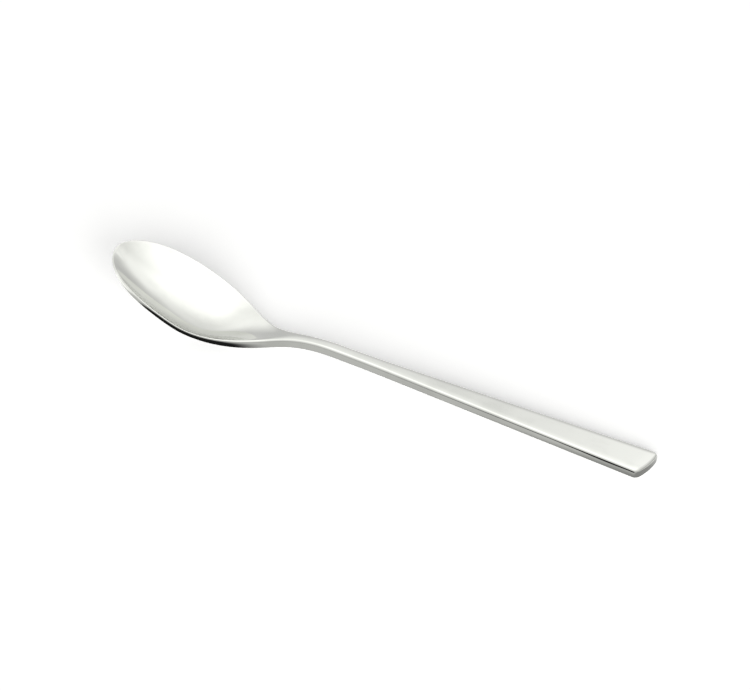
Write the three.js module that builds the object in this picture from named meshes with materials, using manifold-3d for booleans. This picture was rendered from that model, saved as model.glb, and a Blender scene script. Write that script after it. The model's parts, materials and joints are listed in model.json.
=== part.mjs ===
// A polished steel table spoon, lying on the back of its bowl and the end of its handle.
// Millimetres, +Z up. X runs from the bowl's tip to the handle's end, and Y across the spoon. The origin is
// halfway along the spoon, on the surface that it lies on.

import * as THREE from 'three';
import { mergeVertices } from 'three/addons/utils/BufferGeometryUtils.js';
import Module from 'manifold-3d';

// Plan, with places measured along the spoon from the tip
const LENGTH = 200;
const BOWL_WIDTH = 41.2;
const WIDEST_AT = 28.5;
const TIP_LAND = 1.6;
const NECK_AT = 82;
const NECK_WIDTH = 5.7;
const TAPER_AT = 96.8;
const TAPER_BEND = 11;
const END_WIDTH = 17.5;
const END_CORNER = 2.3;
const END_BOW = 0.8;

// Powers that shape the bowl's outline at its widest place and where it runs out along the neck
const FULLNESS_POWER = 2.35;
const SWEEP_POWER = 4.4;

// Side profile of the top edge: the rim tips up towards the tip, and the neck climbs to its crest
const RIM_ANGLE = 18.1;
const VALLEY_AT = 48.4;
const VALLEY_BEND = 13.5;
const NECK_ANGLE = 14.6;
const CREST_AT = 75.7;
const CREST_BEND = 9.2;

// Depth and metal
const BOWL_DEPTH = 7.2;
const BOWL_WALL = 1.4;
const GAUGE_FROM = 38;
const NECK_THICKNESS = 2.75;
const END_THICKNESS = 2.6;
const CROWN_REACH = 3.4;
const CROWN_ANGLE = 12;
const EDGE_ROUND = 0.3;
const WEAR_DEPTH = 0.15;

// Tang of the bowl, brazed in the handle's socket
const JOIN_AT = 60;
const TANG_LENGTH = 12;
const TANG_ROOT = 5;
const TANG_WIDTH = 3;
const TANG_THICKNESS = 0.9;
const BRAZE_GAP = 0.3;

// Fineness of the facets
const BOWL_STATIONS = 26;
const NECK_STATIONS = 14;
const HANDLE_STATIONS = 5;
const CORNER_STATIONS = 4;
const TANG_STATIONS = 6;
const INNER_COLUMNS = 11;
const LIE_SAMPLES = 200;

const POLISHED_STEEL = { color: 0xc2c3be, roughness: 0.05, metalness: 1 };

// A straight run that begins at 0, eased over a bend that reaches half a length to either side.
function easedRun(distance, half) {
  if (distance <= -half) return 0;
  if (distance >= half) return distance;
  return (distance + half) ** 2 / (4 * half);
}

// Share of the bowl's full width along the spoon: none at the tip or on the neck.
function fullness(x) {
  if (x < WIDEST_AT) return Math.sqrt(1 - (1 - x / WIDEST_AT) ** FULLNESS_POWER);
  const behind = Math.min((x - WIDEST_AT) / (NECK_AT - WIDEST_AT), 1);
  return (1 - behind ** FULLNESS_POWER) ** SWEEP_POWER;
}

// Half the width before the end's corners are cut. The tip keeps a small land.
function sideWidth(x) {
  const land = x < WIDEST_AT ? 0 : NECK_WIDTH / 2;
  const oval = THREE.MathUtils.lerp(land, BOWL_WIDTH / 2, fullness(x));
  const bowlOrNeck = Math.hypot(oval, (TIP_LAND / 2) * Math.max(1 - x / WIDEST_AT, 0));
  const taper = (END_WIDTH - NECK_WIDTH) / 2 / (LENGTH - TAPER_AT);
  return bowlOrNeck + taper * easedRun(x - TAPER_AT, TAPER_BEND);
}

function halfWidth(x) {
  const intoCorner = Math.max(x - (LENGTH - END_CORNER), 0);
  return sideWidth(x) - END_CORNER + Math.sqrt(Math.max(END_CORNER ** 2 - intoCorner ** 2, 0));
}

// How far the end's sides lie behind its middle. The bow fades in over the end's crowned margin.
function bowBack(x, y) {
  const share = Math.max(x - (LENGTH - CROWN_REACH), 0) / CROWN_REACH;
  return END_BOW * (share * y / (END_WIDTH / 2)) ** 2;
}

// Height of the top edge over the line of the handle's top.
function edgeRise(x) {
  const rimSlope = Math.tan(THREE.MathUtils.degToRad(RIM_ANGLE));
  const neckSlope = Math.tan(THREE.MathUtils.degToRad(NECK_ANGLE));
  const neck = -neckSlope * easedRun(CREST_AT - x, CREST_BEND);
  return neck + (neckSlope + rimSlope) * easedRun(VALLEY_AT - x, VALLEY_BEND);
}

// The hollow deepens with the square of the bowl's fullness, so it runs out along the neck.
function hollowDepth(x) {
  return BOWL_DEPTH * fullness(x) ** 2;
}

// Height of the handle's crown over its edges: it falls away near the sides and the end, and ends in the bowl.
function crown(x, y) {
  const side = sideWidth(x);
  const reach = Math.min(CROWN_REACH, side);
  const nearSide = Math.max(Math.abs(y) - (side - reach), 0);
  const nearEnd = Math.max(x - (LENGTH - CROWN_REACH), 0);
  const fall = Math.tan(THREE.MathUtils.degToRad(CROWN_ANGLE)) / (2 * reach);
  return (1 - fullness(x)) ** 2 * fall * (reach ** 2 - nearSide ** 2 - nearEnd ** 2);
}

// The metal thickens from the bowl's gauge to the neck's before the join, and then thins to the end.
function thickness(x) {
  const thickening = THREE.MathUtils.smoothstep(x, GAUGE_FROM, JOIN_AT);
  const gauge = THREE.MathUtils.lerp(BOWL_WALL, NECK_THICKNESS, thickening);
  const thinning = Math.max(x - JOIN_AT, 0) / (LENGTH - JOIN_AT);
  return gauge - (NECK_THICKNESS - END_THICKNESS) * thinning;
}

// The top and the underside at a place across the spoon, over the line of the handle's top.
function surfaces(x, y) {
  const across = y / halfWidth(x);
  const depth = hollowDepth(x);
  const pressed = edgeRise(x) - depth * (1 - across ** 2);
  const slope = (2 * depth * across) / halfWidth(x);
  return { top: pressed + crown(x, y), under: pressed - thickness(x) * Math.hypot(1, slope) };
}

// Slope at which the spoon lies, on a small worn flat on the back of the bowl and on the end of the handle.
const END_UNDER = surfaces(LENGTH, 0).under;
const LIE_SLOPE = Math.max(...evenly(0, JOIN_AT, LIE_SAMPLES).map((x) => {
  const drop = END_UNDER - surfaces(x, 0).under - WEAR_DEPTH;
  return drop / (LENGTH - x);
}));

function lie(x, rise) {
  return rise - END_UNDER + LIE_SLOPE * (LENGTH - x);
}

// One cross-section: columns from side to side, each with its top and underside.
function section(x) {
  const half = halfWidth(x);
  const round = Math.min(EDGE_ROUND, half / 3);
  const inner = [round - half, ...evenly(round - half, half - round, INNER_COLUMNS - 1)];
  return [-half, ...inner, half].map((y) => {
    const at = x - bowBack(x, y);
    const { top, under } = surfaces(at, y);
    const eased = Math.abs(y) === half ? round : 0;
    return { at, y, top: lie(at, top - eased), under: lie(at, under + eased) };
  });
}

// A narrow bar along the middle of the neck, for the tang and its socket.
function barSection(x, width, thick) {
  const { top, under } = surfaces(x, 0);
  const middle = lie(x, (top + under) / 2);
  return [-width / 2, width / 2].map((y) => {
    return { at: x, y, top: middle + thick / 2, under: middle - thick / 2 };
  });
}

// A closed solid through cross-sections that all have as many columns.
function loft(stations, sectionAt) {
  const sections = stations.map(sectionAt);
  const columns = sections[0].length;
  const ring = 2 * columns;
  const positions = [];
  sections.forEach((columnsHere) => {
    columnsHere.forEach(({ at, y, top }) => positions.push(at - LENGTH / 2, y, top));
    columnsHere.toReversed().forEach(({ at, y, under }) => positions.push(at - LENGTH / 2, y, under));
  });
  const index = [];
  const quad = (a, b, c, d) => index.push(a, b, c, a, c, d);
  for (let i = 0; i + 1 < sections.length; i += 1) {
    for (let j = 0; j < ring; j += 1) {
      const next = (j + 1) % ring;
      quad(i * ring + j, (i + 1) * ring + j, (i + 1) * ring + next, i * ring + next);
    }
  }
  const last = (sections.length - 1) * ring;
  for (let j = 0; j + 1 < columns; j += 1) {
    const low = ring - 1 - j;
    quad(j, j + 1, low - 1, low);
    quad(last + low, last + low - 1, last + j + 1, last + j);
  }
  const geometry = new THREE.BufferGeometry();
  geometry.setAttribute('position', new THREE.Float32BufferAttribute(positions, 3));
  geometry.setIndex(index);
  return geometry;
}

// Places at equal steps after the first, up to the last.
function evenly(from, to, count) {
  return Array.from({ length: count }, (_, i) => THREE.MathUtils.lerp(from, to, (i + 1) / count));
}

const wasm = await Module();
wasm.setup();

function toSolid(geometry) {
  geometry.deleteAttribute('normal');
  geometry.deleteAttribute('uv');
  const merged = mergeVertices(geometry);
  return new wasm.Manifold(new wasm.Mesh({
    numProp: 3,
    vertProperties: new Float32Array(merged.attributes.position.array),
    triVerts: new Uint32Array(merged.index.array),
  }));
}

function toMesh(name, solid) {
  const { vertProperties, triVerts } = solid.getMesh();
  const geometry = new THREE.BufferGeometry();
  geometry.setAttribute('position', new THREE.BufferAttribute(vertProperties, 3));
  geometry.setIndex(new THREE.BufferAttribute(triVerts, 1));
  const mesh = new THREE.Mesh(geometry, new THREE.MeshStandardMaterial(POLISHED_STEEL));
  mesh.name = name;
  return mesh;
}

// A bar that is rooted in the bowl's back wall and reaches into the neck.
function tangBar(reach, gap) {
  const stations = [JOIN_AT - TANG_ROOT, JOIN_AT, ...evenly(JOIN_AT, JOIN_AT + reach, TANG_STATIONS)];
  return toSolid(loft(stations, (x) => barSection(x, TANG_WIDTH + 2 * gap, TANG_THICKNESS + 2 * gap)));
}

// What lies below the surface that the spoon lies on.
function worn() {
  const block = new THREE.BoxGeometry(LENGTH, BOWL_WIDTH, BOWL_DEPTH);
  block.translate(0, 0, -BOWL_DEPTH / 2);
  return toSolid(block);
}

// The stations crowd together at the tip, where the outline turns fastest.
function makeBowl() {
  const turns = [0, ...evenly(0, Math.PI / 2, BOWL_STATIONS)];
  const stations = turns.map((turn) => JOIN_AT * (1 - Math.cos(turn)));
  const solid = toSolid(loft(stations, section)).add(tangBar(TANG_LENGTH, 0));
  return toMesh('bowl', solid.subtract(worn()));
}

function makeHandle() {
  const taperStart = TAPER_AT + TAPER_BEND;
  const cornerStart = LENGTH - END_CORNER;
  const stations = [
    JOIN_AT,
    ...evenly(JOIN_AT, taperStart, NECK_STATIONS),
    ...evenly(taperStart, LENGTH - CROWN_REACH, HANDLE_STATIONS),
    cornerStart,
    ...evenly(0, Math.PI / 2, CORNER_STATIONS).map((turn) => cornerStart + END_CORNER * Math.sin(turn)),
  ];
  const socket = tangBar(TANG_LENGTH + BRAZE_GAP, BRAZE_GAP);
  return toMesh('handle', toSolid(loft(stations, section)).subtract(socket));
}

const spoon = new THREE.Group();
spoon.add(makeBowl(), makeHandle());

export default spoon;
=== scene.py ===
"""A polished steel table spoon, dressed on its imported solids.

Laid out as an add-on and run as a script. Metres, +Z up: X runs from the bowl's tip to the handle's end,
and the origin is halfway along, on the surface that the spoon lies on.
"""

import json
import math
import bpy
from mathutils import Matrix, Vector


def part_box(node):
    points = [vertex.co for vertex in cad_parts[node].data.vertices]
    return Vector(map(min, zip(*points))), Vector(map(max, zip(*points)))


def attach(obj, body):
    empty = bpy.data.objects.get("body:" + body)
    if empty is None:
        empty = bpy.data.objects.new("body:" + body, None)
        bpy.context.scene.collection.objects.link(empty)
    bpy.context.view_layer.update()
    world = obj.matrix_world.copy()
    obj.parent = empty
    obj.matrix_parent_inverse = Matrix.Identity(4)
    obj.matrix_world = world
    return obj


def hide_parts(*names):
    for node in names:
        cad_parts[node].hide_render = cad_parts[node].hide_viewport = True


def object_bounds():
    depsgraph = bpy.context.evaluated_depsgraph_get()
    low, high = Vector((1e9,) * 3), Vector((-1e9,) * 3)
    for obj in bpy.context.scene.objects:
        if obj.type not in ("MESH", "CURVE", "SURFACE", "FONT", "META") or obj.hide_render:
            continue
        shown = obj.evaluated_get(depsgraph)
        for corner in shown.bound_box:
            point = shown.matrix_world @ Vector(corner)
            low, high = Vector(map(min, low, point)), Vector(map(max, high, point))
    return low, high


bl_info = {
    "name": "Polished table spoon",
    "version": (1, 0, 0),
    "blender": (4, 5, 0),
    "location": "View3D > Sidebar > Spoon",
    "description": "Presses a table spoon from two flat blanks and sets it on a pale floor",
    "category": "Object",
}

import bmesh
import bpy
import numpy as np
from mathutils import Matrix, Vector

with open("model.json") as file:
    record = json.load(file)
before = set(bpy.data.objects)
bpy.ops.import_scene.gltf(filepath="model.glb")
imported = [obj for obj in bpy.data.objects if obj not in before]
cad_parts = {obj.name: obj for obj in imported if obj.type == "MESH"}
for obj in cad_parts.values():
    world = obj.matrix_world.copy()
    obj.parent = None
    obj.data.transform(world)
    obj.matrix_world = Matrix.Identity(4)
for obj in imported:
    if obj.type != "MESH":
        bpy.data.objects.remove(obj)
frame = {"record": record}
CAD_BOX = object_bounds()

MM = 0.001

# Fineness of the meshes
BOWL_STEPS = 130
NECK_STEPS = 110
HANDLE_STEPS = 60
CORNER_STEPS = 14
COLUMNS = 64
ROUND_STEPS = 6
TANG_STEPS = 8
TENT_COLUMNS = 48
TENT_ROWS = 24

# Edges that bend by more degrees than this are shaded sharp
SHARP_EDGE = 50

STEEL_NAME = "stainless_steel_mirror_polished"

# Sizes that the press takes, in the order of its inputs
PRESS_SIZES = (
    "length", "widest_at", "neck_at", "fullness_power", "sweep_power", "rim_angle", "valley_at",
    "valley_bend", "neck_angle", "crest_at", "crest_bend", "bowl_depth", "end_thickness", "crown_reach",
    "crown_angle",
)

# The floor and the near card lie a hair below the spoon
FLOOR_REACH = 4
FLOOR_LEVEL = -0.00005
CARD_REACH = 0.9
CARD_LEVEL = -0.00002

# Light tent, with its foot in degrees
TENT_RADIUS = 0.56
TENT_FOOT = -3

# Brightness of the tent at heights in degrees
TENT_FADE = ((0, 0.33), (10, 0.32), (15, 0.37), (25, 0.49), (35, 0.54), (45, 0.64), (55, 0.75), (65, 0.85),
             (90, 0.98))

# Share of the light that the tent's sides lose, and its front twice
TENT_SIDE_LOSS = 0.09

# Lit panels of the tent: turns from the far side, heights and soft edge in degrees, and the light they add
LIT_PANELS = (
    ((-56, -55), (25, 26), 25, 0.17),
    ((-3, 5), (29, 47), 14, 0.115),
    ((4, 7), (17, 21), 4, 0.15),
)

# Dimmer roof over the handle's end, between heights in degrees and between shares of the radius along X
ROOF_FROM = 64
ROOF_TO = 76
ROOF_LEFT = 0.2
ROOF_RIGHT = 0.36
ROOF_LOSS = 0.36

# Brightness of the near card: shaded beside the spoon, clear farther out, and more past the tip
CARD_SHADE = 0.42
CARD_SHADE_REACH = 0.007
CARD_CLEAR = 0.84
CARD_LIT = 0.95
CARD_LIT_FROM = -0.11
CARD_LIT_TO = -0.125

# How far the near card reaches past the spoon's middle line, thinning out
CARD_BACK = 0.02

# Painted shadow patches on the near card: centre, half size, turn in degrees, and the share of the size that
# is darkest
PAINTED_SHADOW_PATCHES = (
    ((-0.0679, -0.0283), (0.0382, 0.02), 28.6, 0.72),
    ((0.088, -0.032), (0.03, 0.0195), 0, 0.9),
)

# Share of the card's brightness that is left in a painted shadow patch
PAINTED_SHADOW_LEFT = 0.02

# Black flag along the handle, seen only in reflections, where it paints a dark reflected line: where it
# begins, is whole and ends, then its place across
FLAG_FROM = -0.04
FLAG_WHOLE = 0.09
FLAG_TO = 0.11
FLAG_ACROSS = -0.03
FLAG_HEIGHT = 0.01
FLAG_BRIGHTNESS = 0.01

# Key lamps: the way they shine, and each one's turn from it and width in degrees
KEY_SHINE = (-0.5, 0.866, -0.255)
KEY_TURNS = (-12, 0, 12)
KEY_WIDTH = 20


def srgb(code):
    """Linear colour of an sRGB hex value."""
    parts = [int(code[i:i + 2], 16) / 255 for i in (1, 3, 5)]
    return tuple(c / 12.92 if c <= 0.04045 else ((c + 0.055) / 1.055) ** 2.4 for c in parts)


def length_of(name, description, millimetres):
    """A length of the spoon, shown in the scene's units."""
    return bpy.props.FloatProperty(name=name, description=description, default=millimetres * MM,
                                   min=0, precision=5, unit="LENGTH")


class SpoonSizes(bpy.types.PropertyGroup):
    """Sizes of the spoon. Places are measured along it from the bowl's tip."""

    length: length_of("Length", "From the bowl's tip to the handle's end", (CAD_BOX[1].x - CAD_BOX[0].x) / MM)
    bowl_width: length_of("Bowl width", "Widest part of the bowl", 41.2)
    widest_at: length_of("Widest at", "Where the bowl is widest", 28.5)
    tip_land: length_of("Tip land", "Small straight edge at the tip", 1.6)
    neck_at: length_of("Neck at", "Where the bowl's outline has run out along the neck", 82)
    neck_width: length_of("Neck width", "Narrowest part of the neck", 5.7)
    taper_at: length_of("Taper at", "Where the handle begins to widen", 96.8)
    taper_bend: length_of("Taper bend", "Half the length over which the widening eases in", 11)
    end_width: length_of("End width", "Width of the handle's end", 17.5)
    end_corner: length_of("End corner", "Radius of the end's corners in plan", 2.3)
    end_bow: length_of("End bow", "How far the end's sides lie behind its middle", 0.8)
    fullness_power: bpy.props.FloatProperty(
        name="Fullness power", description="How full the outline is at its widest place", default=2.35)
    sweep_power: bpy.props.FloatProperty(
        name="Sweep power", description="How long the outline sweeps into the neck", default=4.4)
    rim_angle: bpy.props.FloatProperty(
        name="Rim angle", description="Tilt of the rim towards the tip",
        default=math.radians(18.1), subtype="ANGLE")
    valley_at: length_of("Valley at", "Lowest place of the top edge", 48.4)
    valley_bend: length_of("Valley bend", "Half the length over which the edge bends there", 13.5)
    neck_angle: bpy.props.FloatProperty(
        name="Neck angle", description="Climb of the neck to its crest",
        default=math.radians(14.6), subtype="ANGLE")
    crest_at: length_of("Crest at", "Where the neck meets the handle's line", 75.7)
    crest_bend: length_of("Crest bend", "Half the length over which the crest bends", 9.2)
    bowl_depth: length_of("Bowl depth", "Depth of the hollow below its rim", 7.2)
    bowl_wall: length_of("Bowl wall", "Thickness of the bowl", 1.4)
    gauge_from: length_of("Gauge from", "Where the metal begins to thicken towards the neck", 38)
    neck_thickness: length_of("Neck thickness", "Thickness where the bowl joins the neck", 2.75)
    end_thickness: length_of("End thickness", "Thickness of the handle's end", 2.6)
    crown_reach: length_of("Crown reach", "How far in from its edges the handle's top is crowned", 3.4)
    crown_angle: bpy.props.FloatProperty(
        name="Crown angle", description="Slope of the crowned top at its edges",
        default=math.radians(12), subtype="ANGLE")
    top_edge: bpy.props.FloatProperty(
        name="Top edge", description="Radius of the top edges as a share of the thickness",
        default=0.32, min=0.02, max=0.45, subtype="FACTOR")
    low_edge: bpy.props.FloatProperty(
        name="Low edge", description="Radius of the lower edges as a share of the thickness",
        default=0.1, min=0.02, max=0.45, subtype="FACTOR")
    join_at: length_of("Join at", "Where the bowl meets the handle",
                       (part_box("handle")[0].x - CAD_BOX[0].x) / MM)
    tang_length: length_of("Tang length", "Reach of the bowl's tang into the handle", 12)
    tang_width: length_of("Tang width", "Width of the tang", 3)
    tang_thickness: length_of("Tang thickness", "Thickness of the tang", 0.9)
    braze_gap: length_of("Braze gap", "Room for the brazing round the tang", 0.3)


class SteelFinish(bpy.types.PropertyGroup):
    """Finish of the polished steel."""

    bright: bpy.props.FloatVectorProperty(
        name="Bright", description="Colour of the clean polish", size=3, subtype="COLOR",
        default=srgb("#C2C3BE"), min=0, max=1)
    dulled: bpy.props.FloatVectorProperty(
        name="Dulled", description="Colour where handling has dulled it a little", size=3, subtype="COLOR",
        default=srgb("#BABBB6"), min=0, max=1)
    smooth: bpy.props.FloatProperty(
        name="Smooth", description="Roughness of the clean polish", default=0.03, min=0, max=1,
        subtype="FACTOR")
    handled: bpy.props.FloatProperty(
        name="Handled", description="Roughness where it has been handled", default=0.09, min=0, max=1,
        subtype="FACTOR")
    line_spacing: length_of("Line spacing", "Spacing of the polishing lines", 0.45)
    smudge_size: length_of("Smudge size", "Size of the dulled patches", 14)


class StageSettings(bpy.types.PropertyGroup):
    """Floor, light and camera."""

    floor: bpy.props.FloatVectorProperty(
        name="Floor", description="Colour of the floor", size=3, subtype="COLOR",
        default=srgb("#F4F4F2"), min=0, max=1)
    floor_lift: bpy.props.FloatProperty(
        name="Floor lift", description="White added to the floor where the eye or a reflection meets it",
        default=0.5, min=0, max=1, subtype="FACTOR")
    sky_fill: bpy.props.FloatProperty(
        name="Sky fill", description="Light of the white surroundings on matt surfaces", default=0.14, min=0)
    tent: bpy.props.FloatProperty(
        name="Tent", description="Brightness of the light tent's top", default=2.55, min=0)
    key: bpy.props.FloatProperty(
        name="Key", description="Strength of the low lamps at the front together", default=6.0, min=0)
    azimuth: bpy.props.FloatProperty(
        name="Azimuth", description="Camera's turn about the spoon",
        default=math.radians(25.231), subtype="ANGLE")
    elevation: bpy.props.FloatProperty(
        name="Elevation", description="Camera's height above the floor",
        default=math.radians(23.919), subtype="ANGLE")
    roll: bpy.props.FloatProperty(
        name="Roll", description="Camera's turn about its own line of sight",
        default=math.radians(6.435), subtype="ANGLE")
    distance: length_of("Distance", "From the camera to the place it looks at", 1160)
    aim: bpy.props.FloatVectorProperty(
        name="Aim", description="Place that the camera looks at", size=3, subtype="TRANSLATION",
        default=(-0.002169, 0.002388, 0.012461))
    lens: bpy.props.FloatProperty(name="Lens", description="Focal length in millimetres", default=169)


def add_node(tree, kind, inputs=(), **settings):
    """Adds a node, sets it, and links or fills its inputs. A node stands for its first output."""
    made = tree.nodes.new(kind)
    for name, value in settings.items():
        setattr(made, name, value)
    pairs = inputs.items() if isinstance(inputs, dict) else enumerate(inputs)
    for key, value in pairs:
        if isinstance(value, bpy.types.Node):
            value = value.outputs[0]
        if isinstance(value, bpy.types.NodeSocket):
            tree.links.new(value, made.inputs[key])
        else:
            made.inputs[key].default_value = value
    return made


def empty_material(name):
    """A new material with nothing in its node tree."""
    made = bpy.data.materials.new(name)
    made.use_nodes = True
    made.node_tree.nodes.clear()
    return made


def new_object(name, data):
    """A new object in the current collection."""
    made = bpy.data.objects.new(name, data)
    bpy.context.collection.objects.link(made)
    return made


# Plan and gauge of the blanks

def eased_run(distance, half):
    """A straight run that begins at 0, eased over a bend that reaches half to either side."""
    held = np.clip(distance, -half, half)
    return (held + half) ** 2 / (4 * half) + np.maximum(distance - half, 0)


def side_width(s, x):
    """Half the spoon's width at places along it, before the end's corners are cut."""
    ahead = np.clip(1 - x / s.widest_at, 0, 1)
    behind = np.clip((x - s.widest_at) / (s.neck_at - s.widest_at), 0, 1)
    front = np.sqrt(1 - ahead ** s.fullness_power)
    rear = (1 - behind ** s.fullness_power) ** s.sweep_power
    land = np.where(x < s.widest_at, 0, s.neck_width / 2)
    oval = land + (s.bowl_width / 2 - land) * front * rear
    body = np.hypot(oval, s.tip_land / 2 * ahead)
    taper = (s.end_width - s.neck_width) / 2 / (s.length - s.taper_at)
    return body + taper * eased_run(x - s.taper_at, s.taper_bend)


def half_width(s, x):
    """Half the spoon's width at places along it."""
    into = np.clip(x - (s.length - s.end_corner), 0, s.end_corner)
    return side_width(s, x) - s.end_corner + np.sqrt(s.end_corner ** 2 - into ** 2)


def bow_back(s, x, y):
    """How far a place lies behind the middle of the bowed end, which fades in over the crowned margin."""
    share = np.maximum(x - (s.length - s.crown_reach), 0) / s.crown_reach
    return s.end_bow * (share * y / (s.end_width / 2)) ** 2


def thickness(s, x):
    """Thickness of the metal: it grows towards the join, and thins a little to the end."""
    share = np.clip((x - s.gauge_from) / (s.join_at - s.gauge_from), 0, 1)
    gauge = s.bowl_wall + (s.neck_thickness - s.bowl_wall) * share * share * (3 - 2 * share)
    thinning = np.maximum(x - s.join_at, 0) / (s.length - s.join_at)
    return gauge - (s.neck_thickness - s.end_thickness) * thinning


def outline(s):
    """Places along the spoon, half widths and outward directions of the whole outline."""
    turn = np.linspace(0, math.pi / 2, BOWL_STEPS + 1)
    corner = np.linspace(0, math.pi / 2, CORNER_STEPS + 1)[1:]
    taper_start = s.taper_at + s.taper_bend
    corner_start = s.length - s.end_corner
    x = np.concatenate([
        s.join_at * (1 - np.cos(turn)),
        np.linspace(s.join_at, taper_start, NECK_STEPS + 1)[1:],
        np.linspace(taper_start, corner_start, HANDLE_STEPS + 1)[1:],
        corner_start + s.end_corner * np.sin(corner),
    ])
    wide = half_width(s, x)
    along = np.concatenate([[0], np.cumsum(np.hypot(np.diff(x), np.diff(wide)))])
    out = np.stack([-np.gradient(wide, along), np.gradient(x, along)], 1)
    out /= np.linalg.norm(out, axis=1)[:, None]
    out[0] = (-1, 0)
    out[-1] = (1, 0)
    return x, wide, out


class Blank:
    """A flat blank with rounded edges, as rings of points across the spoon, its top at height 0."""

    def __init__(self, s, x, wide, out):
        self.s = s
        bend = np.linspace(0, math.pi / 2, ROUND_STEPS + 1)[1:]
        arc = np.stack([1 - np.sin(bend), 1 - np.cos(bend)], 1)
        across = np.linspace(-1, 1, COLUMNS + 1)
        flat = np.tile([1.0, 0.0], (COLUMNS + 1, 1))
        one = np.ones(ROUND_STEPS)
        self.across = np.concatenate([across, one, one, across[::-1], -one, -one])
        eased = np.concatenate([flat, arc, arc[::-1], flat, arc, arc[::-1]])
        self.inset, self.drop = eased.T
        side = [False] * ROUND_STEPS + [True] * ROUND_STEPS
        low = [False] * (COLUMNS + 1) + side + [True] * (COLUMNS + 1) + side[::-1]
        self.low = np.array(low)
        self.size = len(self.across)
        rings = [self.ring(*station) for station in zip(x, wide, out)]
        self.points = list(np.concatenate(rings))
        self.top = list(np.tile(np.where(self.low, 0.0, 1.0), len(x)))
        self.rim = []
        self.faces = []
        for here in range(0, (len(x) - 1) * self.size, self.size):
            there = here + self.size
            for m in range(self.size):
                after = (m + 1) % self.size
                self.faces.append((here + m, there + m, there + after, here + after))

    def ring(self, x, wide, out):
        """Points over the top, down the far side, back along the underside and up the near side."""
        radius = np.where(self.low, self.s.low_edge, self.s.top_edge) * float(thickness(self.s, x))
        inset = self.inset * radius
        py = self.across * (wide - out[1] * inset)
        px = x - out[0] * inset - bow_back(self.s, x, py)
        gauge = thickness(self.s, px)
        drop = self.drop * radius
        pz = np.where(self.low, drop - gauge, -drop)
        return np.stack([px, py, pz], 1)

    def close_end(self, start, x, facing):
        """Closes the tip or the end with an edge as round as the sides."""
        # Places in a ring, from the top to the underside, down either side
        under = COLUMNS + 1 + 2 * ROUND_STEPS
        near = [0, *range(self.size - 1, under + COLUMNS, -1), under + COLUMNS]
        far = list(range(COLUMNS, under + 1))
        columns = [near]
        for j in range(1, COLUMNS):
            share = j / COLUMNS
            column = [j]
            for a, b in zip(near[1:-1], far[1:-1]):
                p = self.points[start + a] * (1 - share) + self.points[start + b] * share
                p[0] += bow_back(self.s, x, self.points[start + a][1]) - bow_back(self.s, x, p[1])
                column.append(len(self.points) - start)
                self.points.append(p)
                self.top.append(self.top[start + a])
            columns.append(column + [under + COLUMNS - j])
        columns.append(far)
        for left, right in zip(columns, columns[1:]):
            for p in range(len(left) - 1):
                quad = [left[p], left[p + 1], right[p + 1], right[p]]
                self.faces.append(tuple(start + v for v in quad[::facing]))

    def close_join(self, start, wide, thick, reach):
        """Closes the join's face round a bar that reaches along the neck: the tang, or its socket."""
        middle = self.s.join_at
        bars = []
        for x in np.linspace(middle, middle + reach, TANG_STEPS + 1):
            centre = -float(thickness(self.s, x)) / 2
            bars.append(range(len(self.points), len(self.points) + 4))
            for y, z in ((-1, 1), (1, 1), (1, -1), (-1, -1)):
                self.points.append(np.array([x, y * wide / 2, centre + z * thick / 2]))
                self.top.append(0.5)
        for one, two in zip(bars, bars[1:]):
            for m in range(4):
                after = (m + 1) % 4
                self.faces.append((one[m], two[m], two[after], one[after]))
        self.faces.append(tuple(bars[-1]))
        self.rim = [(start + m, start + (m + 1) % self.size) for m in range(self.size)]
        self.rim += [(bars[0][m], bars[0][(m + 1) % 4]) for m in range(4)]

    def mesh(self, name):
        """The blank as a mesh that keeps each point's side width and its share of the crown."""
        work = bmesh.new()
        centre = self.s.length / 2
        verts = [work.verts.new((p[0] - centre, p[1], p[2])) for p in self.points]
        for face in self.faces:
            work.faces.new([verts[v] for v in face])
        edges = [work.edges.get((verts[a], verts[b])) for a, b in self.rim]
        bmesh.ops.triangle_fill(work, edges=edges, use_beauty=True, normal=(1, 0, 0))
        bmesh.ops.recalc_face_normals(work, faces=work.faces)
        made = bpy.data.meshes.new(name)
        work.to_mesh(made)
        work.free()
        wide = side_width(self.s, np.clip([p[0] for p in self.points], 0, self.s.length))
        for key, values in (("side_width", wide), ("crown_share", self.top)):
            made.attributes.new(key, "FLOAT", "POINT").data.foreach_set("value", values)
        return made


# Pressing the blanks

def run_tree():
    """A straight run that begins at 0, eased over a bend that reaches half to either side."""
    tree = bpy.data.node_groups.new("Eased run", "GeometryNodeTree")
    for name in ("Distance", "Half"):
        tree.interface.new_socket(name, in_out="INPUT", socket_type="NodeSocketFloat")
    tree.interface.new_socket("Run", in_out="OUTPUT", socket_type="NodeSocketFloat")
    distance, half = tree.nodes.new("NodeGroupInput").outputs[:2]
    low = add_node(tree, "ShaderNodeMath", [half, -1.0], operation="MULTIPLY")
    above = add_node(tree, "ShaderNodeMath", [distance, low], operation="MAXIMUM")
    held = add_node(tree, "ShaderNodeMath", [above, half], operation="MINIMUM")
    into = add_node(tree, "ShaderNodeMath", [held, half], operation="ADD")
    square = add_node(tree, "ShaderNodeMath", [into, into], operation="MULTIPLY")
    spread = add_node(tree, "ShaderNodeMath", [half, 4.0], operation="MULTIPLY")
    bend = add_node(tree, "ShaderNodeMath", [square, spread], operation="DIVIDE")
    past = add_node(tree, "ShaderNodeMath", [distance, half], operation="SUBTRACT")
    straight = add_node(tree, "ShaderNodeMath", [past, 0.0], operation="MAXIMUM")
    run = add_node(tree, "ShaderNodeMath", [bend, straight], operation="ADD")
    add_node(tree, "NodeGroupOutput", [run])
    return tree


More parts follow.
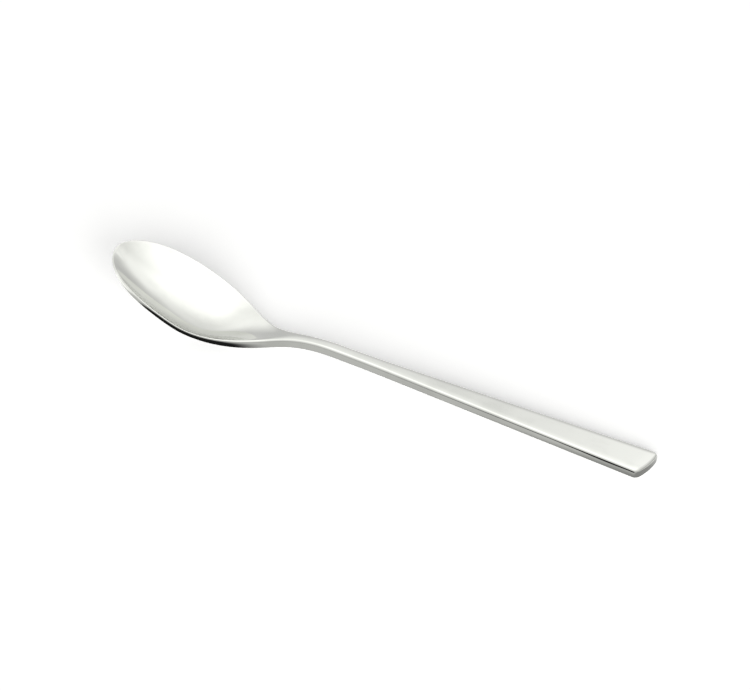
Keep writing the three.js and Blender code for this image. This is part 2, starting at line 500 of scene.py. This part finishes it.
def press_tree():
    """Presses a flat blank into the spoon's side profile and hollow, and lays it on the floor."""
    tree = bpy.data.node_groups.new("Spoon press", "GeometryNodeTree")
    tree.interface.new_socket("Blank", in_out="INPUT", socket_type="NodeSocketGeometry")
    for name in (*PRESS_SIZES, "lie_slope"):
        label = name.replace("_", " ").capitalize()
        tree.interface.new_socket(label, in_out="INPUT", socket_type="NodeSocketFloat")
    tree.interface.new_socket("Steel", in_out="INPUT", socket_type="NodeSocketMaterial")
    tree.interface.new_socket("Pressed", in_out="OUTPUT", socket_type="NodeSocketGeometry")
    given = tree.nodes.new("NodeGroupInput").outputs
    run = run_tree()

    place = add_node(tree, "ShaderNodeSeparateXYZ", [add_node(tree, "GeometryNodeInputPosition")])
    wide = add_node(tree, "GeometryNodeInputNamedAttribute", ["side_width"], data_type="FLOAT")
    middle = add_node(tree, "ShaderNodeMath", [given["Length"], 0.5], operation="MULTIPLY")
    along = add_node(tree, "ShaderNodeMath", [place.outputs["X"], middle], operation="ADD")

    # Fullness of the bowl: the front's share times the rear's
    ratio = add_node(tree, "ShaderNodeMath", [along, given["Widest at"]], operation="DIVIDE")
    ahead = add_node(tree, "ShaderNodeMath", [1.0, ratio], operation="SUBTRACT", use_clamp=True)
    bulge = add_node(tree, "ShaderNodeMath", [ahead, given["Fullness power"]], operation="POWER")
    left = add_node(tree, "ShaderNodeMath", [1.0, bulge], operation="SUBTRACT")
    front = add_node(tree, "ShaderNodeMath", [left], operation="SQRT")
    beyond = add_node(tree, "ShaderNodeMath", [along, given["Widest at"]], operation="SUBTRACT")
    reach = add_node(tree, "ShaderNodeMath", [given["Neck at"], given["Widest at"]], operation="SUBTRACT")
    behind = add_node(tree, "ShaderNodeMath", [beyond, reach], operation="DIVIDE", use_clamp=True)
    narrow = add_node(tree, "ShaderNodeMath", [behind, given["Fullness power"]], operation="POWER")
    rest = add_node(tree, "ShaderNodeMath", [1.0, narrow], operation="SUBTRACT")
    rear = add_node(tree, "ShaderNodeMath", [rest, given["Sweep power"]], operation="POWER")
    fullness = add_node(tree, "ShaderNodeMath", [front, rear], operation="MULTIPLY")
    fullness_square = add_node(tree, "ShaderNodeMath", [fullness, fullness], operation="MULTIPLY")
    depth = add_node(tree, "ShaderNodeMath", [given["Bowl depth"], fullness_square], operation="MULTIPLY")

    # Hollow, and how far the sloping metal is taller than it is thick
    across = add_node(tree, "ShaderNodeMath", [place.outputs["Y"], wide], operation="DIVIDE")
    curve = add_node(tree, "ShaderNodeMath", [across, across], operation="MULTIPLY")
    sink = add_node(tree, "ShaderNodeMath", [1.0, curve], operation="SUBTRACT")
    hollow = add_node(tree, "ShaderNodeMath", [depth, sink], operation="MULTIPLY")
    tilt = add_node(tree, "ShaderNodeMath", [depth, across], operation="MULTIPLY")
    steep = add_node(tree, "ShaderNodeMath", [tilt, wide], operation="DIVIDE")
    slope = add_node(tree, "ShaderNodeMath", [steep, 2.0], operation="MULTIPLY")
    slant = add_node(tree, "ShaderNodeMath", [slope, slope, 1.0], operation="MULTIPLY_ADD")
    stretch = add_node(tree, "ShaderNodeMath", [slant], operation="SQRT")
    height = add_node(tree, "ShaderNodeMath", [place.outputs["Z"], stretch], operation="MULTIPLY")

    # Crown of the handle's top: it falls away near the sides and the end, and ends in the bowl
    crowned = add_node(tree, "GeometryNodeInputNamedAttribute", ["crown_share"], data_type="FLOAT")
    inward = add_node(tree, "ShaderNodeMath", [given["Crown reach"], wide], operation="MINIMUM")
    ridge = add_node(tree, "ShaderNodeMath", [wide, inward], operation="SUBTRACT")
    aside = add_node(tree, "ShaderNodeMath", [place.outputs["Y"]], operation="ABSOLUTE")
    past_ridge = add_node(tree, "ShaderNodeMath", [aside, ridge], operation="SUBTRACT")
    near_side = add_node(tree, "ShaderNodeMath", [past_ridge, 0.0], operation="MAXIMUM")
    end_at = add_node(tree, "ShaderNodeMath", [given["Length"], given["Crown reach"]], operation="SUBTRACT")
    past_end = add_node(tree, "ShaderNodeMath", [along, end_at], operation="SUBTRACT")
    near_end = add_node(tree, "ShaderNodeMath", [past_end, 0.0], operation="MAXIMUM")
    tilted = add_node(tree, "ShaderNodeMath", [given["Crown angle"]], operation="TANGENT")
    across_reach = add_node(tree, "ShaderNodeMath", [inward, 2.0], operation="MULTIPLY")
    fall_rate = add_node(tree, "ShaderNodeMath", [tilted, across_reach], operation="DIVIDE")
    inward_square = add_node(tree, "ShaderNodeMath", [inward, inward], operation="MULTIPLY")
    side_square = add_node(tree, "ShaderNodeMath", [near_side, near_side], operation="MULTIPLY")
    end_square = add_node(tree, "ShaderNodeMath", [near_end, near_end], operation="MULTIPLY")
    kept = add_node(tree, "ShaderNodeMath", [inward_square, side_square], operation="SUBTRACT")
    left_over = add_node(tree, "ShaderNodeMath", [kept, end_square], operation="SUBTRACT")
    plain = add_node(tree, "ShaderNodeMath", [1.0, fullness], operation="SUBTRACT")
    plain_square = add_node(tree, "ShaderNodeMath", [plain, plain], operation="MULTIPLY")
    dome = add_node(tree, "ShaderNodeMath", [left_over, fall_rate], operation="MULTIPLY")
    faded = add_node(tree, "ShaderNodeMath", [dome, plain_square], operation="MULTIPLY")
    crown = add_node(tree, "ShaderNodeMath", [faded, crowned], operation="MULTIPLY")

    # Side profile of the top edge
    to_crest = add_node(tree, "ShaderNodeMath", [given["Crest at"], along], operation="SUBTRACT")
    crest = add_node(tree, "GeometryNodeGroup", {"Distance": to_crest, "Half": given["Crest bend"]},
                     node_tree=run)
    to_valley = add_node(tree, "ShaderNodeMath", [given["Valley at"], along], operation="SUBTRACT")
    valley = add_node(tree, "GeometryNodeGroup", {"Distance": to_valley, "Half": given["Valley bend"]},
                      node_tree=run)
    neck = add_node(tree, "ShaderNodeMath", [given["Neck angle"]], operation="TANGENT")
    rim = add_node(tree, "ShaderNodeMath", [given["Rim angle"]], operation="TANGENT")
    both = add_node(tree, "ShaderNodeMath", [neck, rim], operation="ADD")
    fall = add_node(tree, "ShaderNodeMath", [neck, crest], operation="MULTIPLY")
    climb = add_node(tree, "ShaderNodeMath", [both, valley], operation="MULTIPLY")
    rise = add_node(tree, "ShaderNodeMath", [climb, fall], operation="SUBTRACT")

    # Lying on the floor, with the back of the bowl worn flat where it touches
    from_end = add_node(tree, "ShaderNodeMath", [given["Length"], along], operation="SUBTRACT")
    lift = add_node(tree, "ShaderNodeMath", [from_end, given["Lie slope"], given["End thickness"]],
                    operation="MULTIPLY_ADD")
    edge = add_node(tree, "ShaderNodeMath", [rise, lift], operation="ADD")
    top = add_node(tree, "ShaderNodeMath", [edge, hollow], operation="SUBTRACT")
    level = add_node(tree, "ShaderNodeMath", [top, height], operation="ADD")
    full_height = add_node(tree, "ShaderNodeMath", [level, crown], operation="ADD")
    worn = add_node(tree, "ShaderNodeMath", [full_height, 0.0], operation="MAXIMUM")
    moved = add_node(tree, "ShaderNodeCombineXYZ", [place.outputs["X"], place.outputs["Y"], worn])
    pressed = add_node(tree, "GeometryNodeSetPosition", {"Geometry": given["Blank"], "Position": moved})
    real = add_node(tree, "GeometryNodeRealizeInstances", [pressed])
    steel = add_node(tree, "GeometryNodeSetMaterial", {"Geometry": real, "Material": given["Steel"]})
    add_node(tree, "NodeGroupOutput", [steel])
    return tree


def lie_slope(s):
    """Slope of the handle's top as the spoon lies, from the mount on its underside and its taper."""
    mount = next(m for m in frame["record"]["mounts"] if m["name"] == "handle_underside")
    under = mount["axis"][0] / mount["axis"][2]
    return under + (s.neck_thickness - s.end_thickness) / (s.length - s.join_at)


def press(blank, name):
    """Presses a blank into the finished piece."""
    s = bpy.context.scene.spoon_sizes
    tree = bpy.data.node_groups.get("Spoon press") or press_tree()
    steel = bpy.data.materials.get(STEEL_NAME) or polished_steel()
    values = {key.replace("_", " ").capitalize(): getattr(s, key) for key in PRESS_SIZES}
    values["Lie slope"] = lie_slope(s)
    values["Steel"] = steel
    work = new_object(name + "_blank", blank.mesh(name + "_blank"))
    modifier = work.modifiers.new("Press", "NODES")
    modifier.node_group = tree
    for item in tree.interface.items_tree:
        if item.in_out == "INPUT" and item.name in values:
            modifier[item.identifier] = values[item.name]
    shape = work.evaluated_get(bpy.context.evaluated_depsgraph_get())
    made = bpy.data.meshes.new_from_object(shape)
    made.name = name
    for key in ("side_width", "crown_share"):
        made.attributes.remove(made.attributes[key])
    bpy.data.objects.remove(work)
    made.shade_smooth()
    made.set_sharp_from_angle(angle=math.radians(SHARP_EDGE))
    return new_object(name, made)


def hand_over(piece, node):
    """The piece stands for its solid."""
    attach(piece, "root")
    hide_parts(node)


def polished_steel():
    """Stainless steel, pressed and then polished on soft wheels to a mirror.

    The eye gets clear reflections with a slightly warm grey tint, very fine lines along the spoon from the
    wheel, and soft patches where handling has dulled them.
    """
    finish = bpy.context.scene.spoon_finish
    made = empty_material(STEEL_NAME)
    tree = made.node_tree
    place = add_node(tree, "ShaderNodeTexCoord").outputs["Object"]

    smudges = add_node(tree, "ShaderNodeTexNoise",
                       {"Vector": place, "Scale": 1 / finish.smudge_size, "Detail": 3, "Roughness": 0.55})
    patch = add_node(tree, "ShaderNodeMapRange",
                     {"Value": smudges, "From Min": 0.42, "From Max": 0.7}, interpolation_type="SMOOTHSTEP")
    # Sockets 6 and 7 of a colour mix are its two colours
    tint = add_node(tree, "ShaderNodeMix", {0: patch, 6: (*finish.bright, 1), 7: (*finish.dulled, 1)},
                    data_type="RGBA")
    gloss = add_node(tree, "ShaderNodeMapRange",
                     {"Value": patch, "To Min": finish.smooth, "To Max": finish.handled})

    # The wheel's lines are a few hundredths of a millimetre apart: drawn coarser, so that they show
    turned = add_node(tree, "ShaderNodeMapping", {"Vector": place, "Scale": (0.03, 1, 1)})
    lines = add_node(tree, "ShaderNodeTexNoise",
                     {"Vector": turned, "Scale": 1 / finish.line_spacing, "Detail": 2})
    relief = add_node(tree, "ShaderNodeBump",
                      {"Strength": 0.02, "Distance": 0.00005, "Height": lines})
    shader = add_node(tree, "ShaderNodeBsdfPrincipled",
                      {"Base Color": tint.outputs[2], "Roughness": gloss, "Metallic": 1.0, "Normal": relief})
    add_node(tree, "ShaderNodeOutputMaterial", [shader])
    return made


def card_glow(tree, level, cover):
    """A card's surface, which thins out to nothing where its cover falls to 0."""
    clear = tree.nodes.new("ShaderNodeBsdfTransparent")
    light = add_node(tree, "ShaderNodeEmission", [(1, 1, 1, 1), level])
    add_node(tree, "ShaderNodeOutputMaterial", [add_node(tree, "ShaderNodeMixShader", [cover, clear, light])])


def seen_rays(tree):
    """1 where the eye, a reflection or a see-through surface looks, and 0 for what lights matt surfaces."""
    path = tree.nodes.new("ShaderNodeLightPath").outputs
    shiny = add_node(tree, "ShaderNodeMath", [path["Is Camera Ray"], path["Is Glossy Ray"]],
                     operation="MAXIMUM")
    return add_node(tree, "ShaderNodeMath", [shiny, path["Is Transmission Ray"]], operation="MAXIMUM")


def stage_piece(name, points, faces, material):
    """A piece of the stage."""
    made = bpy.data.meshes.new(name)
    made.from_pydata(points, [], faces)
    made.materials.append(material)
    piece = new_object(name, made)
    return piece


def only_reflected(card):
    """A studio card that only reflections show."""
    card.visible_camera = False
    card.visible_diffuse = False
    card.visible_shadow = False
    card.visible_transmission = False


def light_tent(material):
    """The dome of the light tent, over the spoon and all round it."""
    turns = np.radians(np.linspace(-180, 180, TENT_COLUMNS + 1))
    heights = np.radians(np.linspace(TENT_FOOT, 90, TENT_ROWS + 1))
    points = []
    for high in heights:
        level = TENT_RADIUS * math.sin(high)
        reach = TENT_RADIUS * math.cos(high)
        points += [(reach * math.sin(turn), reach * math.cos(turn), level) for turn in turns]
    faces = []
    for row in range(TENT_ROWS):
        start = row * (TENT_COLUMNS + 1)
        for i in range(start, start + TENT_COLUMNS):
            above = i + TENT_COLUMNS + 1
            faces.append((i, above, above + 1, i + 1))
    return stage_piece("tent", points, faces, material)


def soft_band(tree, value, low, high, soft):
    """1 between two angles in degrees, fading to 0 over a soft edge outside them."""
    up = add_node(tree, "ShaderNodeMapRange",
                  {"Value": value, "From Min": math.radians(low - soft), "From Max": math.radians(low)},
                  interpolation_type="SMOOTHSTEP")
    down = add_node(tree, "ShaderNodeMapRange",
                    {"Value": value, "From Min": math.radians(high + soft), "From Max": math.radians(high)},
                    interpolation_type="SMOOTHSTEP")
    return add_node(tree, "ShaderNodeMath", [up, down], operation="MULTIPLY")


def tent_cloth(strength):
    """Thin white cloth, greyer low down, at the front and over the handle's end, with brighter lit panels."""
    made = empty_material("tent_cloth")
    tree = made.node_tree
    place = add_node(tree, "ShaderNodeTexCoord").outputs["Object"]
    out = add_node(tree, "ShaderNodeSeparateXYZ",
                   [add_node(tree, "ShaderNodeVectorMath", [place], operation="NORMALIZE")])
    height = add_node(tree, "ShaderNodeMath", [out.outputs["Z"]], operation="ARCSINE")
    turn = add_node(tree, "ShaderNodeMath", [out.outputs["X"], out.outputs["Y"]], operation="ARCTAN2")

    share = add_node(tree, "ShaderNodeMapRange", {"Value": height, "From Max": math.pi / 2})
    fade = add_node(tree, "ShaderNodeValToRGB", [share])
    stops = fade.color_ramp.elements
    while len(stops) < len(TENT_FADE):
        stops.new(0.5)
    for stop, (degrees, bright) in zip(stops, TENT_FADE):
        stop.position = degrees / 90
        stop.color = (bright, bright, bright, 1)
    behind = add_node(tree, "ShaderNodeMath", [turn], operation="COSINE")
    front = add_node(tree, "ShaderNodeMath", [behind, TENT_SIDE_LOSS, 1 - TENT_SIDE_LOSS],
                     operation="MULTIPLY_ADD")
    level = add_node(tree, "ShaderNodeMath", [fade, front], operation="MULTIPLY")

    roof = add_node(tree, "ShaderNodeMapRange",
                    {"Value": height, "From Min": math.radians(ROOF_FROM), "From Max": math.radians(ROOF_TO)},
                    interpolation_type="SMOOTHSTEP")
    right = add_node(tree, "ShaderNodeMapRange",
                     {"Value": out.outputs["X"], "From Min": ROOF_LEFT, "From Max": ROOF_RIGHT},
                     interpolation_type="SMOOTHSTEP")
    over_end = add_node(tree, "ShaderNodeMath", [roof, right], operation="MULTIPLY")
    kept = add_node(tree, "ShaderNodeMath", [over_end, -ROOF_LOSS, 1.0], operation="MULTIPLY_ADD")
    level = add_node(tree, "ShaderNodeMath", [level, kept], operation="MULTIPLY")
    for turns, heights, soft, bright in LIT_PANELS:
        wide = soft_band(tree, turn, *turns, soft)
        high = soft_band(tree, height, *heights, soft)
        both = add_node(tree, "ShaderNodeMath", [wide, high], operation="MULTIPLY")
        level = add_node(tree, "ShaderNodeMath", [both, bright, level], operation="MULTIPLY_ADD")
    lit = add_node(tree, "ShaderNodeMath", [level, strength], operation="MULTIPLY")
    add_node(tree, "ShaderNodeOutputMaterial", [add_node(tree, "ShaderNodeEmission", [(1, 1, 1, 1), lit])])
    return made


def near_card(s):
    """A pale card on the spoon's near side, with painted shade close to it and painted shadow patches by the
    bowl and the end.
    """
    made = empty_material("near_card")
    tree = made.node_tree
    place = add_node(tree, "ShaderNodeTexCoord").outputs["Object"]
    split = add_node(tree, "ShaderNodeSeparateXYZ", [place])
    taper = (s.end_width - s.neck_width) / 2 / (s.length - s.taper_at)
    beyond = add_node(tree, "ShaderNodeMath", [split.outputs["X"], s.taper_at - s.length / 2],
                      operation="SUBTRACT")
    widening = add_node(tree, "ShaderNodeMath", [beyond, 0.0], operation="MAXIMUM")
    side = add_node(tree, "ShaderNodeMath", [widening, taper, s.neck_width / 2], operation="MULTIPLY_ADD")
    reach = add_node(tree, "ShaderNodeMath", [split.outputs["Y"], side], operation="ADD")
    # Painted shade on the card beside the spoon, with painted light added past the tip
    shaded = add_node(tree, "ShaderNodeMapRange",
                      {"Value": reach, "From Min": 0.0, "From Max": -CARD_SHADE_REACH,
                       "To Min": CARD_SHADE, "To Max": CARD_CLEAR}, interpolation_type="SMOOTHSTEP")
    lit = add_node(tree, "ShaderNodeMapRange",
                   {"Value": split.outputs["X"], "From Min": CARD_LIT_FROM, "From Max": CARD_LIT_TO,
                    "To Max": CARD_LIT}, interpolation_type="SMOOTHSTEP")
    level = add_node(tree, "ShaderNodeMath", [shaded, lit], operation="ADD")
    # Painted shadow patches by the bowl and by the handle's end, darkest in their middle
    for centre, size, turned, edge in PAINTED_SHADOW_PATCHES:
        scaled = add_node(tree, "ShaderNodeMapping",
                          {"Vector": place, "Location": (*centre, 0), "Scale": (*size, 1),
                           "Rotation": (0, 0, math.radians(turned))}, vector_type="TEXTURE")
        away = add_node(tree, "ShaderNodeVectorMath", [scaled], operation="LENGTH")
        clear = add_node(tree, "ShaderNodeMapRange",
                         {"Value": away.outputs["Value"], "From Min": edge, "From Max": 1.0,
                          "To Min": PAINTED_SHADOW_LEFT}, interpolation_type="SMOOTHSTEP")
        level = add_node(tree, "ShaderNodeMath", [level, clear], operation="MULTIPLY")
    cover = add_node(tree, "ShaderNodeMapRange",
                     {"Value": split.outputs["Y"], "From Min": CARD_BACK, "From Max": 0.0},
                     interpolation_type="SMOOTHSTEP")
    card_glow(tree, level, cover)
    return made


def black_flag():
    """Black cloth that thins out towards the bowl, seen only in reflections, where it paints a dark line
    along the handle.
    """
    made = empty_material("black_flag")
    tree = made.node_tree
    place = add_node(tree, "ShaderNodeTexCoord").outputs["Object"]
    split = add_node(tree, "ShaderNodeSeparateXYZ", [place])
    cover = add_node(tree, "ShaderNodeMapRange",
                     {"Value": split.outputs["X"], "From Min": FLAG_FROM, "From Max": FLAG_WHOLE},
                     interpolation_type="SMOOTHSTEP")
    card_glow(tree, FLAG_BRIGHTNESS, cover)
    return made


class SPOON_OT_bowl(bpy.types.Operator):
    """Makes the pressed bowl with the tang behind it"""

    bl_idname = "spoon.bowl"
    bl_label = "Bowl"

    def execute(self, context):
        s = context.scene.spoon_sizes
        x, wide, out = outline(s)
        last = BOWL_STEPS + 1
        blank = Blank(s, x[:last], wide[:last], out[:last])
        blank.close_end(0, 0, -1)
        blank.close_join(BOWL_STEPS * blank.size, s.tang_width, s.tang_thickness, s.tang_length)
        hand_over(press(blank, "spoon_bowl"), "bowl")
        return {"FINISHED"}


class SPOON_OT_handle(bpy.types.Operator):
    """Makes the neck and handle, with the socket for the tang in its front"""

    bl_idname = "spoon.handle"
    bl_label = "Handle"

    def execute(self, context):
        s = context.scene.spoon_sizes
        x, wide, out = outline(s)
        blank = Blank(s, x[BOWL_STEPS:], wide[BOWL_STEPS:], out[BOWL_STEPS:])
        blank.close_end((len(x) - BOWL_STEPS - 1) * blank.size, s.length, 1)
        gap = s.braze_gap
        blank.close_join(0, s.tang_width + 2 * gap, s.tang_thickness + 2 * gap, s.tang_length + gap)
        hand_over(press(blank, "spoon_handle"), "handle")
        return {"FINISHED"}


class SPOON_OT_stage(bpy.types.Operator):
    """Sets the floor, the light and the camera"""

    bl_idname = "spoon.stage"
    bl_label = "Stage"

    def execute(self, context):
        scene = context.scene
        settings = scene.spoon_stage
        self.lay_floor(settings)
        self.surround(scene, settings)
        self.hang_lamps(settings)
        self.set_cards(scene.spoon_sizes, settings)
        self.place_camera(scene, settings)
        scene.view_settings.view_transform = "Standard"
        # Near its rim the bowl mirrors itself several times over
        scene.cycles.glossy_bounces = 8
        return {"FINISHED"}

    def lay_floor(self, settings):
        """Lays a white matt card that keeps the spoon's shadow"""
        material = empty_material("white_card_matt")
        tree = material.node_tree
        matt = add_node(tree, "ShaderNodeBsdfDiffuse", [(*settings.floor, 1)])
        lift = add_node(tree, "ShaderNodeMath", [seen_rays(tree), settings.floor_lift], operation="MULTIPLY")
        white = add_node(tree, "ShaderNodeEmission", [(1, 1, 1, 1), lift])
        both = add_node(tree, "ShaderNodeAddShader", [matt, white])
        add_node(tree, "ShaderNodeOutputMaterial", [both])
        low, high = -FLOOR_REACH, FLOOR_REACH
        corners = [(x, y, FLOOR_LEVEL) for x, y in ((low, low), (high, low), (high, high), (low, high))]
        stage_piece("floor", corners, [(0, 1, 2, 3)], material)

    def surround(self, scene, settings):
        """Makes the surroundings white to the eye, and dimmer as light on the floor"""
        world = bpy.data.worlds.new("white_surroundings")
        world.use_nodes = True
        tree = world.node_tree
        tree.nodes.clear()
        strength = add_node(tree, "ShaderNodeMapRange",
                            {"Value": seen_rays(tree), "To Min": settings.sky_fill, "To Max": 1.0})
        sky = add_node(tree, "ShaderNodeBackground", [(1, 1, 1, 1), strength])
        add_node(tree, "ShaderNodeOutputWorld", [sky])
        scene.world = world

    def hang_lamps(self, settings):
        """Hangs the key lamps side by side, so that the shadow is soft"""
        for turn in KEY_TURNS:
            key = bpy.data.lights.new("key", "SUN")
            key.energy = settings.key / len(KEY_TURNS)
            key.angle = math.radians(KEY_WIDTH)
            lamp = new_object("key", key)
            shine = Matrix.Rotation(math.radians(turn), 3, "Z") @ Vector(KEY_SHINE)
            lamp.rotation_euler = shine.to_track_quat("-Z", "Y").to_euler()
            lamp.visible_glossy = False

    def set_cards(self, sizes, settings):
        """Sets up what only reflections show: the tent, the near card and the flag"""
        only_reflected(light_tent(tent_cloth(settings.tent)))
        low, high = -CARD_REACH, CARD_REACH
        card = [(x, y, CARD_LEVEL) for x, y in ((low, low), (high, low), (high, CARD_BACK), (low, CARD_BACK))]
        only_reflected(stage_piece("near_card", card, [(0, 1, 2, 3)], near_card(sizes)))
        flag = [(FLAG_FROM, FLAG_ACROSS, 0), (FLAG_TO, FLAG_ACROSS, 0),
                (FLAG_TO, FLAG_ACROSS, FLAG_HEIGHT), (FLAG_FROM, FLAG_ACROSS, FLAG_HEIGHT)]
        only_reflected(stage_piece("flag", flag, [(0, 1, 2, 3)], black_flag()))

    def place_camera(self, scene, settings):
        """Places the camera at the photograph's angle"""
        turn, height = settings.azimuth, settings.elevation
        back = Vector((math.sin(turn) * math.cos(height), -math.cos(turn) * math.cos(height),
                       math.sin(height)))
        data = bpy.data.cameras.new("camera")
        data.sensor_width = 36
        data.lens = settings.lens
        data.clip_start = 0.05
        data.clip_end = 20
        camera = new_object("camera", data)
        place = Vector(settings.aim) + back * settings.distance
        facing = (-back).to_track_quat("-Z", "Y").to_matrix() @ Matrix.Rotation(settings.roll, 3, "Z")
        camera.matrix_world = Matrix.Translation(place) @ facing.to_4x4()
        scene.camera = camera


class SPOON_PT_sidebar(bpy.types.Panel):
    """The spoon's sizes, finish and stage"""

    bl_idname = "SPOON_PT_sidebar"
    bl_label = "Table spoon"
    bl_space_type = "VIEW_3D"
    bl_region_type = "UI"
    bl_category = "Spoon"

    def draw(self, context):
        scene = context.scene
        for title, group in (("Sizes", scene.spoon_sizes), ("Finish", scene.spoon_finish),
                             ("Stage", scene.spoon_stage)):
            box = self.layout.box()
            box.label(text=title)
            for name in group.__annotations__:
                box.prop(group, name)
        for operator in PIECES:
            self.layout.operator(operator.bl_idname)


GROUPS = {"spoon_sizes": SpoonSizes, "spoon_finish": SteelFinish, "spoon_stage": StageSettings}
PIECES = (SPOON_OT_bowl, SPOON_OT_handle, SPOON_OT_stage)
CLASSES = (*GROUPS.values(), *PIECES, SPOON_PT_sidebar)


def register():
    for cls in CLASSES:
        bpy.utils.register_class(cls)
    for name, group in GROUPS.items():
        setattr(bpy.types.Scene, name, bpy.props.PointerProperty(type=group))


def unregister():
    for name in GROUPS:
        delattr(bpy.types.Scene, name)
    for cls in reversed(CLASSES):
        bpy.utils.unregister_class(cls)


def main():
    register()
    bpy.ops.spoon.bowl()
    bpy.ops.spoon.handle()
    bpy.ops.spoon.stage()


if __name__ == "__main__":
    main()
